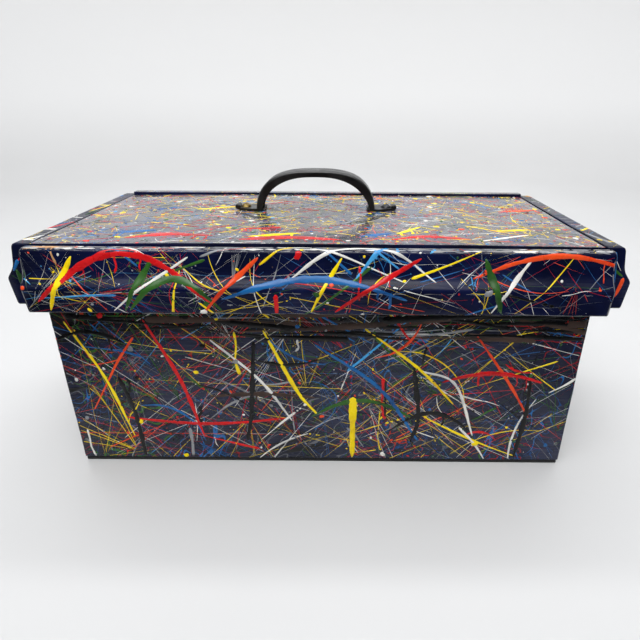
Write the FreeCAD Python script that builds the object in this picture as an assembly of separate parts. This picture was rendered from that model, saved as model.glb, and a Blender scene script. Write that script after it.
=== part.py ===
"""Painted wooden art supply box: an open box of thin boards with a hinged, cap-like lid.

Millimetres, +Z up, the front faces -Y. X = 0, Y = 0 is the middle of the overall footprint and
Z = 0 is the underside of the base panel, on which the box stands.
"""

import FreeCAD, Part
import os
from math import pi, radians, sin, cos, tan, atan2, hypot

V = FreeCAD.Vector

# ---- driving dimensions: lid ----
LID_TOP = 181.2  # top face of the panel along its edges
LID_CROWN = 1.2  # how much higher the panel is in the middle
LID_BOTTOM = 137.2  # lower edge of the mouldings
PANEL_THICKNESS = 8.0
FRONT_INNER = -90.5  # inner face of the front moulding
LID_BACK = 102.17  # outer face of the back rail
SIDE_INNER = 193.2  # inner face of each side moulding
SIDE_TOP_WIDTH = 9.8  # moulding width at the top, on the sides
FRONT_TOP_WIDTH = 6.3  # the same at the front
FRONT_RAIL_HALF = 195.6
FRONT_RAIL_DROP = 1.2  # the front moulding's top lies this much below the panel's edge
MOULD_FLARE = 10.7  # how far the moulding's ridge stands out beyond its top
BACK_RAIL_THICKNESS = 9.0
BACK_RAIL_PROUD = 3.1
PANEL_GAP_RIGHT = 1.5
PANEL_GAP_FRONT = 0.4
LINER_THICKNESS = 9.5
CLEAT_DEPTH = 12.0

# ---- driving dimensions: body ----
BODY_HALF = 192.3
BODY_FRONT = -89.5
BOARD = 9.5
BASE_THICKNESS = 3.2
BASE_INSET = 1.0
WALL_TOP = 150.0  # front and side boards, inside the mouldings
BACK_BOARD_TOP = 136.9
REST_GAP = 0.3  # between the liners and the boards below them
CORNER_BLOCK = 14.0
CORNER_BLOCK_TOP = 120.0

# ---- driving dimensions: handle ----
HANDLE_X = -7.2
HANDLE_Y = 23.5
HANDLE_WIDTH = 20.0
STRAP = 1.7  # sheet thickness
ARCH_HEIGHT = 33.2  # above the feet's underside
SCREW_REACH = 60.5  # each screw from the handle's middle
FOOT_END = 67.2
TIP_RADIUS = 2.3
BOLT_RADIUS = 2.0
BOLT_HEAD_RADIUS = 4.3
BOLT_HEAD_HEIGHT = 2.9

# ---- driving dimensions: hinges and nails ----
HINGE_X = 125.0
HINGE_LENGTH = 50.0
HINGE_LEAF = 1.5
HINGE_REACH = 21.0
KNUCKLE_RADIUS = 2.5
KNUCKLE_STAND_OFF = 0.3
PIN_RADIUS = 1.25
PIN_CLEARANCE = 0.05
KNUCKLE_GAP = 0.3
SCREW_RADIUS = 1.3
SCREW_HEAD_RADIUS = 2.7
NAIL_RADIUS = 0.8
NAIL_HEAD_RADIUS = 1.6

PANEL_UNDER = LID_TOP - PANEL_THICKNESS
PANEL_MIDDLE = LID_TOP + LID_CROWN
HINGE_Y = LID_BACK + KNUCKLE_STAND_OFF + KNUCKLE_RADIUS
HINGE_Z = (LID_BOTTOM + BACK_BOARD_TOP) / 2
LINER_BOTTOM = WALL_TOP + REST_GAP
BODY_BACK_INNER = LID_BACK - BOARD
BODY_FRONT_INNER = BODY_FRONT + BOARD
BODY_SIDE_INNER = BODY_HALF - BOARD
LINER_INNER = SIDE_INNER - LINER_THICKNESS
BACK_RAIL_INNER = LID_BACK - BACK_RAIL_THICKNESS

PARTS = {}


# ---- small helpers ----
def block(x0, x1, y0, y1, z0, z1):
    return Part.makeBox(x1 - x0, y1 - y0, z1 - z0, V(x0, y0, z0))


def rounded_face(corners, place):
    """A face whose corners (a, b, radius) are rounded; place turns (a, b) into a point."""
    edges, ends = [], []
    count = len(corners)
    for i, (a, b, r) in enumerate(corners):
        a0, b0, _ = corners[i - 1]
        a1, b1, _ = corners[(i + 1) % count]
        d0, d1 = hypot(a0 - a, b0 - b), hypot(a1 - a, b1 - b)
        u0, u1 = ((a0 - a) / d0, (b0 - b) / d0), ((a1 - a) / d1, (b1 - b) / d1)
        turn = atan2(abs(u0[0] * u1[1] - u0[1] * u1[0]), u0[0] * u1[0] + u0[1] * u1[1])
        if r <= 0 or abs(turn - pi) < 1e-6:
            ends.append(((a, b), None, (a, b)))
            continue
        back = r / tan(turn / 2)
        half = ((u0[0] + u1[0]) / 2, (u0[1] + u1[1]) / 2)
        size = hypot(*half)
        reach = r / sin(turn / 2) - r
        ends.append((
            (a + u0[0] * back, b + u0[1] * back),
            (a + half[0] / size * reach, b + half[1] / size * reach),
            (a + u1[0] * back, b + u1[1] * back),
        ))
    for i, (start, middle, end) in enumerate(ends):
        if middle:
            edges.append(Part.Arc(place(*start), place(*middle), place(*end)).toShape())
        after = ends[(i + 1) % count][0]
        edges.append(Part.makeLine(place(*end), place(*after)))
    return Part.Face(Part.Wire(edges))


def merged(shapes):
    shape = shapes[0]
    for other in shapes[1:]:
        shape = shape.fuse(other)
    return shape.removeSplitter()


def without(shape, *tools):
    for tool in tools:
        shape = shape.cut(tool)
    return shape


def rod(start, direction, length, radius):
    return Part.makeCylinder(radius, length, start, direction)


def nail(start, direction, length):
    """A brad: a thin shank with a flat head at its start."""
    head = rod(start, direction, 0.8, NAIL_HEAD_RADIUS)
    return head.fuse(rod(start, direction, length, NAIL_RADIUS)).removeSplitter()


# ---- lid ----
def moulding_corners(width):
    """The moulding's section: distance out from its inner face, height below its top, radius."""
    ridge = width + MOULD_FLARE
    depth = LID_TOP - LID_BOTTOM
    return [
        (0.0, 0.0, 0.4),
        (width + 2.2, 0.0, 2.6),
        (width + 4.9, -16.5, 7.0),
        (ridge + 0.2, -24.6, 5.0),
        (width + 8.4, -depth, 1.2),
        (0.0, -depth, 0.4),
    ]


def front_rail():
    top = LID_TOP - FRONT_RAIL_DROP
    corners = [
        (a, max(b, LID_BOTTOM - top), r) for a, b, r in moulding_corners(FRONT_TOP_WIDTH)
    ]
    face = rounded_face(corners, lambda a, b: V(-FRONT_RAIL_HALF, FRONT_INNER - a, top + b))
    return face.extrude(V(2 * FRONT_RAIL_HALF, 0, 0))


def side_rail(side):
    face = rounded_face(
        moulding_corners(SIDE_TOP_WIDTH),
        lambda a, b: V(side * (SIDE_INNER + a), FRONT_INNER, LID_TOP + b),
    )
    return face.extrude(V(0, LID_BACK - FRONT_INNER, 0))


def back_rail():
    return block(
        -SIDE_INNER, SIDE_INNER, BACK_RAIL_INNER, LID_BACK,
        LID_BOTTOM, LID_TOP + BACK_RAIL_PROUD,
    )


def top_panel():
    left, right, flat = -SIDE_INNER, SIDE_INNER - PANEL_GAP_RIGHT, 95.0
    front, back = FRONT_INNER + PANEL_GAP_FRONT, BACK_RAIL_INNER
    section = Part.makePolygon([
        V(left, front, PANEL_UNDER), V(right, front, PANEL_UNDER),
        V(right, front, LID_TOP), V(flat, front, PANEL_MIDDLE),
        V(-flat, front, PANEL_MIDDLE), V(left, front, LID_TOP),
        V(left, front, PANEL_UNDER),
    ])
    return Part.Face(section).extrude(V(0, back - front, 0))


def front_liner():
    return block(
        -SIDE_INNER, SIDE_INNER, FRONT_INNER, FRONT_INNER + LINER_THICKNESS,
        LINER_BOTTOM, PANEL_UNDER,
    )


def side_liner(side):
    near, far = sorted((side * LINER_INNER, side * SIDE_INNER))
    return block(
        near, far, FRONT_INNER + LINER_THICKNESS, BACK_RAIL_INNER, LINER_BOTTOM, PANEL_UNDER
    )


def back_cleat():
    return block(
        -LINER_INNER, LINER_INNER, BACK_RAIL_INNER - CLEAT_DEPTH, BACK_RAIL_INNER,
        PANEL_UNDER - CLEAT_DEPTH, PANEL_UNDER,
    )


def panel_nails():
    down = V(0, 0, -1)
    front_y = FRONT_INNER + LINER_THICKNESS / 2
    side_x = SIDE_INNER - LINER_THICKNESS / 2
    nails = [nail(V(x, front_y, LID_TOP - 0.1), down, 22) for x in (-165, -60, 60, 165)]
    nails += [
        nail(V(x, y, LID_TOP - 0.1), down, 22) for x in (-side_x, side_x) for y in (-40, 25, 80)
    ]
    return nails


def moulding_pins():
    """Headless pins from the mouldings into the liners, driven below the surface."""
    level, length = LID_TOP - 17.5, 17.0
    pins = [
        rod(V(x, FRONT_INNER - 9.8, level), V(0, 1, 0), length, NAIL_RADIUS)
        for x in (-150, -50, 50, 150)
    ]
    for side in (-1, 1):
        start = side * (SIDE_INNER + 10.0)
        pins += [rod(V(start, y, level), V(-side, 0, 0), length, NAIL_RADIUS) for y in (-60, 0, 65)]
    return pins


# ---- body ----
def corner_block(side, back):
    x = side * BODY_SIDE_INNER
    y = BODY_BACK_INNER if back else BODY_FRONT_INNER
    inward = -1 if back else 1
    wire = Part.makePolygon([
        V(x, y, BASE_THICKNESS),
        V(x - side * CORNER_BLOCK, y, BASE_THICKNESS),
        V(x, y + inward * CORNER_BLOCK, BASE_THICKNESS),
        V(x, y, BASE_THICKNESS),
    ])
    return Part.Face(wire).extrude(V(0, 0, CORNER_BLOCK_TOP - BASE_THICKNESS))


def end_board(y0, y1, top):
    """A full-width board with its outer upright corners eased."""
    board = block(-BODY_HALF, BODY_HALF, y0, y1, BASE_THICKNESS, top)
    outer = y0 if y0 < 0 else y1
    upright = [
        e for e in board.Edges
        if abs(e.BoundBox.ZLength - (top - BASE_THICKNESS)) < 0.01
        and abs(e.CenterOfMass.y - outer) < 0.01
    ]
    return board.makeFillet(1.6, upright)


def side_board(side):
    near, far = sorted((side * BODY_SIDE_INNER, side * BODY_HALF))
    return block(near, far, BODY_FRONT_INNER, BODY_BACK_INNER, BASE_THICKNESS, WALL_TOP)


def base_panel():
    half, front, back = BODY_HALF - BASE_INSET, BODY_FRONT + BASE_INSET, LID_BACK - BASE_INSET
    corners = [(-half, front, 4), (half, front, 4), (half, back, 4), (-half, back, 4)]
    face = rounded_face(corners, lambda a, b: V(a, b, 0))
    return face.extrude(V(0, 0, BASE_THICKNESS))


def board_nails(back):
    start = LID_BACK - 0.3 if back else BODY_FRONT + 0.3
    inward = V(0, -1 if back else 1, 0)
    x = BODY_HALF - BOARD / 2
    return [
        nail(V(side * x, start, z), inward, 30)
        for side in (-1, 1) for z in (20, 55, 90, 125)
    ]


def base_nails():
    up = V(0, 0, 1)
    front, back = BODY_FRONT + BOARD / 2, LID_BACK - BOARD / 2
    x = BODY_HALF - BOARD / 2
    spots = [(a, y) for a in (-140, 0, 140) for y in (front, back)]
    spots += [(side * x, y) for side in (-1, 1) for y in (-40, 50)]
    return [nail(V(a, y, 0.4), up, 18) for a, y in spots]


# ---- handle ----
def spline(points, y):
    curve = Part.BSplineCurve()
    curve.interpolate([V(HANDLE_X + x, y, PANEL_MIDDLE + z) for x, z in points])
    return curve.toShape()


def mirrored(points):
    return [(-x, z) for x, z in points] + [(x, z) for x, z in reversed(points) if x]


def arch_solid(outer, inner, y0, y1):
    """The space between two arches that share the ground line, from y0 to y1."""
    over, under = spline(outer, y0), spline(inner, y0)
    ends = [(outer[0], inner[0]), (outer[-1], inner[-1])]
    feet = [
        Part.makeLine(*[V(HANDLE_X + x, y0, PANEL_MIDDLE + z) for x, z in pair]) for pair in ends
    ]
    wire = Part.Wire(Part.__sortEdges__([over, under] + feet))
    return Part.Face(wire).extrude(V(0, y1 - y0, 0))


def handle_foot(side):
    """A flat foot that narrows to a rolled tip."""
    half = HANDLE_WIDTH / 2
    corners = [(44.0, -half, 0), (56.0, -half, 5), (FOOT_END, -4.5, 2),
               (FOOT_END, 4.5, 2), (56.0, half, 5), (44.0, half, 0)]
    face = rounded_face(
        corners, lambda a, b: V(HANDLE_X + side * a, HANDLE_Y + b, PANEL_MIDDLE)
    )
    plate = face.extrude(V(0, 0, STRAP + 0.1))
    tip = rod(
        V(HANDLE_X + side * FOOT_END, HANDLE_Y - 5.0, PANEL_MIDDLE + TIP_RADIUS),
        V(0, 1, 0), 10.0, TIP_RADIUS,
    )
    tip = tip.makeFillet(1.2, [e for e in tip.Edges if e.Length > 10.1])
    return plate.fuse(tip)


def handle_strap():
    """A pressed strap: crowned on top, hollow below, with turned-down edges deepest at the bends."""
    outer = mirrored([(50.6, 0.0), (50.2, 5.0), (48.2, 12.5), (44.2, 19.6), (38.0, 25.6),
                      (29.0, 30.0), (16.0, 32.6), (0.0, ARCH_HEIGHT)])
    inner = mirrored([(46.4, 0.0), (45.2, 4.5), (42.0, 10.6), (37.2, 16.6), (30.6, 21.6),
                      (22.0, 25.4), (11.5, 27.5), (0.0, 28.0)])
    hollow = mirrored([(48.9, 0.0), (48.5, 4.8), (46.6, 11.8), (42.9, 18.5), (37.0, 24.2),
                       (28.4, 28.4), (15.8, 30.9), (0.0, ARCH_HEIGHT - STRAP)])
    below = mirrored([(30.0, 0.0), (29.6, 5.0), (27.0, 10.0), (22.0, 14.0), (15.0, 17.0),
                      (0.0, 18.0)])
    y0, y1 = HANDLE_Y - HANDLE_WIDTH / 2, HANDLE_Y + HANDLE_WIDTH / 2
    arch = arch_solid(outer, inner, y0, y1)
    rims = [e for e in arch.Edges if e.BoundBox.XLength > 96 and e.Length > 120]
    rims = [e for e in rims if e.BoundBox.ZLength > ARCH_HEIGHT - 1]
    arch = arch.makeFillet(2.2, rims)
    channel = arch_solid(hollow, below, y0 + STRAP, y1 - STRAP)
    arch = arch.cut(channel)
    strap = merged([arch, handle_foot(-1), handle_foot(1)])
    holes = [
        rod(V(HANDLE_X + side * SCREW_REACH, HANDLE_Y, PANEL_MIDDLE - 1), V(0, 0, 1), 6,
            BOLT_RADIUS + 0.2)
        for side in (-1, 1)
    ]
    return without(strap, *holes)


def handle_bolt(side):
    """A round-headed slotted bolt through the foot and the panel."""
    x, seat = HANDLE_X + side * SCREW_REACH, PANEL_MIDDLE + STRAP + 0.1
    rise = BOLT_HEAD_HEIGHT
    ball = (BOLT_HEAD_RADIUS ** 2 + rise ** 2) / (2 * rise)
    dome = Part.makeSphere(ball, V(x, HANDLE_Y, seat + rise - ball))
    dome = dome.common(rod(V(x, HANDLE_Y, seat), V(0, 0, 1), rise + 1, BOLT_HEAD_RADIUS + 1))
    slot = block(x - 5, x + 5, HANDLE_Y - 0.5, HANDLE_Y + 0.5, seat + rise - 1.1, seat + rise + 1)
    slot.rotate(V(x, HANDLE_Y, seat), V(0, 0, 1), 35 if side < 0 else -20)
    shank = rod(V(x, HANDLE_Y, PANEL_UNDER - 6.2), V(0, 0, 1), seat - PANEL_UNDER + 6.2, BOLT_RADIUS)
    return merged([dome.cut(slot), shank])


def ring(x, z0, z1, outer, inner):
    body = rod(V(x, HANDLE_Y, z0), V(0, 0, 1), z1 - z0, outer)
    return body.cut(rod(V(x, HANDLE_Y, z0 - 1), V(0, 0, 1), z1 - z0 + 2, inner))


def handle_washers():
    return [
        ring(HANDLE_X + side * SCREW_REACH, PANEL_UNDER - 1, PANEL_UNDER, 5.0, BOLT_RADIUS + 0.15)
        for side in (-1, 1)
    ]


def handle_nuts():
    nuts = []
    for side in (-1, 1):
        x, z = HANDLE_X + side * SCREW_REACH, PANEL_UNDER - 1 - 3.2
        reach = 3.5 / cos(radians(30))
        points = [
            V(x + reach * cos(radians(60 * i + 12)), HANDLE_Y + reach * sin(radians(60 * i + 12)), z)
            for i in range(7)
        ]
        hexagon = Part.Face(Part.makePolygon(points)).extrude(V(0, 0, 3.2))
        nuts.append(hexagon.cut(rod(V(x, HANDLE_Y, z - 1), V(0, 0, 1), 6, BOLT_RADIUS + 0.02)))
    return nuts


# ---- hinges ----
def knuckle_spans():
    third = HINGE_LENGTH / 3
    return [
        (0.0, third - KNUCKLE_GAP / 2),
        (third + KNUCKLE_GAP / 2, 2 * third - KNUCKLE_GAP / 2),
        (2 * third + KNUCKLE_GAP / 2, HINGE_LENGTH),
    ]


def hinge_screw(x, z):
    """A countersunk slotted screw, its head flush with the leaf."""
    face, inward = LID_BACK + HINGE_LEAF, V(0, -1, 0)
    start = V(x, face, z)
    head = Part.makeCone(SCREW_HEAD_RADIUS, SCREW_RADIUS, HINGE_LEAF, start, inward)
    screw = head.fuse(rod(start, inward, HINGE_LEAF + 6.5, SCREW_RADIUS)).removeSplitter()
    return screw


def driver_slot(x, z):
    slot = block(x - 3, x + 3, LID_BACK + HINGE_LEAF - 0.7, LID_BACK + HINGE_LEAF + 1,
                 z - 0.3, z + 0.3)
    slot.rotate(V(x, LID_BACK, z), V(0, 1, 0), (x * 7) % 90)
    return slot


def screw_spots(side, up):
    start = side * HINGE_X - HINGE_LENGTH / 2
    return [
        (start + a, HINGE_Z + up * b) for a, b in ((8.0, 9.0), (25.0, 15.5), (42.0, 9.0))
    ]


def hinge_screws(up):
    return [
        hinge_screw(x, z).cut(driver_slot(x, z))
        for side in (-1, 1) for x, z in screw_spots(side, up)
    ]


def hinge_leaf(side, up, spans, bore):
    """One leaf: a plate on the outer face, with tabs that roll into its knuckles."""
    start = side * HINGE_X - HINGE_LENGTH / 2
    clear = KNUCKLE_RADIUS + 0.45
    y0, y1 = LID_BACK, LID_BACK + HINGE_LEAF
    near, far = sorted((HINGE_Z + up * clear, HINGE_Z + up * HINGE_REACH))
    pieces = [block(start, start + HINGE_LENGTH, y0, y1, near, far)]
    for a, b in spans:
        low, high = sorted((HINGE_Z + up * 0.4, HINGE_Z + up * clear))
        pieces.append(block(start + a, start + b, y0, y1, low, high))
        pieces.append(rod(V(start + a, HINGE_Y, HINGE_Z), V(1, 0, 0), b - a, KNUCKLE_RADIUS))
    leaf = merged(pieces)
    hole = rod(V(start - 1, HINGE_Y, HINGE_Z), V(1, 0, 0), HINGE_LENGTH + 2, bore)
    return without(leaf, hole, *[hinge_screw(x, z) for x, z in screw_spots(side, up)])


def hinge_pin(side):
    start = side * HINGE_X - HINGE_LENGTH / 2
    return rod(V(start, HINGE_Y, HINGE_Z), V(1, 0, 0), HINGE_LENGTH, PIN_RADIUS)


# ---- assembly ----
def build_body():
    front, back, under = board_nails(False), board_nails(True), base_nails()
    lower = [hinge_screw(x, z) for side in (-1, 1) for x, z in screw_spots(side, -1)]
    fixings = front + back + under
    PARTS["body_front_board"] = without(end_board(BODY_FRONT, BODY_FRONT_INNER, WALL_TOP),
                                        *front, *under)
    PARTS["body_back_board"] = without(end_board(BODY_BACK_INNER, LID_BACK, BACK_BOARD_TOP),
                                       *back, *under, *lower)
    PARTS["body_left_board"] = without(side_board(-1), *fixings)
    PARTS["body_right_board"] = without(side_board(1), *fixings)
    PARTS["base_panel"] = without(base_panel(), *[
        rod(V(n.BoundBox.Center.x, n.BoundBox.Center.y, -1), V(0, 0, 1), 2.2, NAIL_HEAD_RADIUS)
        for n in under], *under)
    for side, word in ((-1, "left"), (1, "right")):
        PARTS["corner_block_front_" + word] = corner_block(side, False)
        PARTS["corner_block_back_" + word] = corner_block(side, True)
    PARTS["front_board_nails"] = Part.makeCompound(front)
    PARTS["back_board_nails"] = Part.makeCompound(back)
    PARTS["base_panel_nails"] = Part.makeCompound(under)


def build_lid():
    nails, pins = panel_nails(), moulding_pins()
    upper = [hinge_screw(x, z) for side in (-1, 1) for x, z in screw_spots(side, 1)]
    bolt_holes = [
        rod(V(HANDLE_X + s * SCREW_REACH, HANDLE_Y, PANEL_UNDER - 1), V(0, 0, 1), 14,
            BOLT_RADIUS + 0.15) for s in (-1, 1)
    ]
    sinks = [
        rod(V(n.BoundBox.Center.x, n.BoundBox.Center.y, LID_TOP - 0.9), V(0, 0, 1), 3,
            NAIL_HEAD_RADIUS) for n in nails
    ]
    PARTS["lid_top_panel"] = without(top_panel(), *bolt_holes, *sinks, *nails)
    PARTS["lid_front_rail"] = without(front_rail(), *pins)
    PARTS["lid_left_rail"] = without(side_rail(-1), *pins)
    PARTS["lid_right_rail"] = without(side_rail(1), *pins)
    PARTS["lid_back_rail"] = without(back_rail(), *upper)
    PARTS["lid_front_liner"] = without(front_liner(), *nails, *pins)
    PARTS["lid_left_liner"] = without(side_liner(-1), *nails, *pins)
    PARTS["lid_right_liner"] = without(side_liner(1), *nails, *pins)
    PARTS["lid_back_cleat"] = back_cleat()
    PARTS["lid_panel_nails"] = Part.makeCompound(nails)
    PARTS["lid_moulding_pins"] = Part.makeCompound(pins)


def build_handle():
    PARTS["handle_strap"] = handle_strap()
    PARTS["handle_bolt_left"] = handle_bolt(-1)
    PARTS["handle_bolt_right"] = handle_bolt(1)
    PARTS["handle_washers"] = Part.makeCompound(handle_washers())
    PARTS["handle_nuts"] = Part.makeCompound(handle_nuts())


def build_hinges():
    spans = knuckle_spans()
    for side, word in ((-1, "left"), (1, "right")):
        PARTS["hinge_%s_body_leaf" % word] = hinge_leaf(
            side, -1, [spans[0], spans[2]], PIN_RADIUS)
        PARTS["hinge_%s_lid_leaf" % word] = hinge_leaf(
            side, 1, [spans[1]], PIN_RADIUS + PIN_CLEARANCE)
        PARTS["hinge_%s_pin" % word] = hinge_pin(side)
    PARTS["hinge_body_screws"] = Part.makeCompound(hinge_screws(-1))
    PARTS["hinge_lid_screws"] = Part.makeCompound(hinge_screws(1))


build_body()
build_lid()
build_handle()
build_hinges()
os.makedirs("parts", exist_ok=True)
for name, shape in PARTS.items():
    shape.exportStep("parts/%s.step" % name)
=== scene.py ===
"""Painted wooden art supply box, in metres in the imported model's frame: the front faces -Y.

Boards, mouldings and paint are worked out in millimetres, and mesh_piece turns them into metres.
"""

import math
import random

import bmesh
import bpy
import numpy as np
from mathutils import Matrix, Vector


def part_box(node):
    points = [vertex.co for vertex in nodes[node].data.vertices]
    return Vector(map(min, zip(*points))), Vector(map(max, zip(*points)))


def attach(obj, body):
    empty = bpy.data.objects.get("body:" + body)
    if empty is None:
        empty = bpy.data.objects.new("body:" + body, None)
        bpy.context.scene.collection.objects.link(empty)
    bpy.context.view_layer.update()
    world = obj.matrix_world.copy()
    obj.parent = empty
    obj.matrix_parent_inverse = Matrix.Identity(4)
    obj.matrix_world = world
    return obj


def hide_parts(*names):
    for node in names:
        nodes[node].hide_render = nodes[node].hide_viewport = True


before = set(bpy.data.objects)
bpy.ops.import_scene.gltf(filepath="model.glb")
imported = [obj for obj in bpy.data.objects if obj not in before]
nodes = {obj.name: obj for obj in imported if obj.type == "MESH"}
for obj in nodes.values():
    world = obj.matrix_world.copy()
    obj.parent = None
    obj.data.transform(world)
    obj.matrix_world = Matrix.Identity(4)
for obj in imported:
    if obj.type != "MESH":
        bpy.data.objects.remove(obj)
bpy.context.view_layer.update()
bpy.context.scene.view_settings.view_transform = "Standard"
MM = 0.001
TURN = 6.28


def node_mm(name):
    low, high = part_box(name)
    return [c / MM for c in low], [c / MM for c in high]


# ---------------------------------------------------------------- colours
def linear(level):
    """A display level, 0 to 255, as linear light."""
    return ((level / 255 + 0.055) / 1.055) ** 2.4 if level > 10 else level / 255 / 12.92


def rgb(*levels):
    return (*map(linear, levels), 1.0)


PAINTS = {
    "red": (rgb(203, 20, 24), rgb(150, 8, 14)),
    "orange": (rgb(228, 74, 28), rgb(196, 48, 18)),
    "yellow": (rgb(244, 216, 8), rgb(214, 172, 4)),
    "white": (rgb(226, 224, 218), rgb(186, 186, 184)),
    "grey": (rgb(140, 142, 146), rgb(98, 100, 106)),
    "green": (rgb(48, 92, 34), rgb(26, 58, 24)),
    "blue": (rgb(24, 96, 158), rgb(14, 62, 116)),
    "cyan": (rgb(70, 158, 214), rgb(30, 108, 176)),
    "black": (rgb(18, 18, 20), rgb(8, 8, 9)),
    "brown": (rgb(72, 54, 46), rgb(48, 36, 32)),
    "worn": (rgb(150, 148, 146), rgb(104, 104, 108)),
    "tan": (rgb(196, 150, 104), rgb(150, 104, 66)),
}


# ---------------------------------------------------------------- shader helpers
class Shader:
    """A material's node tree with short calls for the nodes used here."""

    def __init__(self, name):
        self.mat = bpy.data.materials.new(name)
        self.mat.use_nodes = True
        self.tree = self.mat.node_tree
        self.tree.nodes.clear()
        self.bsdf = self.node("ShaderNodeBsdfPrincipled")
        out = self.node("ShaderNodeOutputMaterial")
        self.link(self.bsdf.outputs[0], out.inputs[0])
        self.coord = self.node("ShaderNodeTexCoord").outputs["Object"]

    def node(self, kind, **props):
        n = self.tree.nodes.new(kind)
        for key, value in props.items():
            setattr(n, key, value)
        return n

    def link(self, a, b):
        self.tree.links.new(a, b)

    def put(self, socket, value):
        if isinstance(value, bpy.types.NodeSocket):
            self.link(value, socket)
        else:
            socket.default_value = value

    def math(self, op, a, b=0.0):
        n = self.node("ShaderNodeMath", operation=op)
        self.put(n.inputs[0], a)
        self.put(n.inputs[1], b)
        return n.outputs[0]

    def mapped(self, scale=(1, 1, 1), turn=(0, 0, 0), shift=(0, 0, 0)):
        """Object coordinates turned first, then stretched."""
        n = self.node("ShaderNodeMapping", vector_type="POINT")
        n.inputs["Rotation"].default_value = turn
        self.link(self.coord, n.inputs["Vector"])
        m = self.node("ShaderNodeMapping", vector_type="POINT")
        m.inputs["Scale"].default_value = scale
        m.inputs["Location"].default_value = shift
        self.link(n.outputs[0], m.inputs["Vector"])
        return m.outputs[0]

    def noise(self, vector, scale, detail=2.0, rough=0.5, warp=0.0):
        n = self.node("ShaderNodeTexNoise")
        self.link(vector, n.inputs["Vector"])
        n.inputs["Scale"].default_value = scale
        n.inputs["Detail"].default_value = detail
        n.inputs["Roughness"].default_value = rough
        n.inputs["Distortion"].default_value = warp
        return n.outputs["Fac"]

    def ramp(self, value, low, high, out_low=0.0, out_high=1.0):
        """A value eased from one range into another, and held at its ends."""
        n = self.node("ShaderNodeMapRange", clamp=True, interpolation_type="SMOOTHSTEP")
        for key, v in (("Value", value), ("From Min", low), ("From Max", high),
                       ("To Min", out_low), ("To Max", out_high)):
            self.put(n.inputs[key], v)
        return n.outputs[0]

    def mix(self, factor, a, b):
        n = self.node("ShaderNodeMix", data_type="RGBA")
        self.put(n.inputs[0], factor)
        self.put(n.inputs[6], a)
        self.put(n.inputs[7], b)
        return n.outputs[2]

    def bump(self, height, strength, distance):
        n = self.node("ShaderNodeBump")
        self.link(height, n.inputs["Height"])
        n.inputs["Strength"].default_value = strength
        n.inputs["Distance"].default_value = distance
        self.link(n.outputs[0], self.bsdf.inputs["Normal"])

    def set(self, **values):
        for key, value in values.items():
            self.put(self.bsdf.inputs[key.replace("_", " ")], value)
        return self.mat


def paint_material(word):
    """One poured enamel: streaky pigment, soft gloss and small pits."""
    s = Shader("paint_" + word)
    light, deep = PAINTS[word]
    streak = s.noise(s.coord, 260, 3, 0.6)
    pool = s.noise(s.mapped(shift=(3, 1, 2)), 38, 2)
    blend = s.math("ADD", s.math("MULTIPLY", streak, 0.3), s.math("MULTIPLY", pool, 0.7))
    colour = s.mix(s.ramp(blend, 0.3, 0.55), deep, light)
    dull = word in ("worn", "tan", "brown")
    rough = s.ramp(s.noise(s.mapped(shift=(7, 2, 5)), 60, 3), 0.3, 0.7,
                   0.5 if dull else 0.2, 0.72 if dull else 0.36)
    s.bump(s.noise(s.coord, 500, 2), 0.08, 0.0002)
    return s.set(Base_Color=colour, Roughness=rough, Specular_IOR_Level=0.3)


# Fine flung lines under the raised strokes: paint, turns about Y and Z in degrees, grain scale, stretch,
# line width and cover.
FINE_LINES = [
    ("grey", 38, 20, 26, 9, 0.014, 0.46), ("green", -32, -35, 17, 9, 0.018, 0.50),
    ("blue", -52, 60, 21, 9, 0.016, 0.50), ("black", 3, 2, 20, 14, 0.030, 0.44),
    ("red", 27, -20, 24, 11, 0.012, 0.50), ("blue", 74, 15, 19, 9, 0.014, 0.52),
    ("orange", -24, 40, 27, 11, 0.010, 0.53), ("green", 55, -60, 23, 9, 0.014, 0.53),
    ("white", 47, 70, 25, 11, 0.008, 0.50), ("yellow", -38, -15, 26, 11, 0.008, 0.50),
    ("red", -12, 85, 29, 8, 0.009, 0.53), ("white", -62, 33, 30, 9, 0.007, 0.52),
]


CRACKS = rgb(28, 31, 46)
# Near-black for the painted shade under the lid's overhang.
SHADE = rgb(11, 11, 14)
FLECK_AND_SHEEN_GREY = rgb(150, 150, 152)
STAIN = rgb(104, 84, 60)


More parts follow.
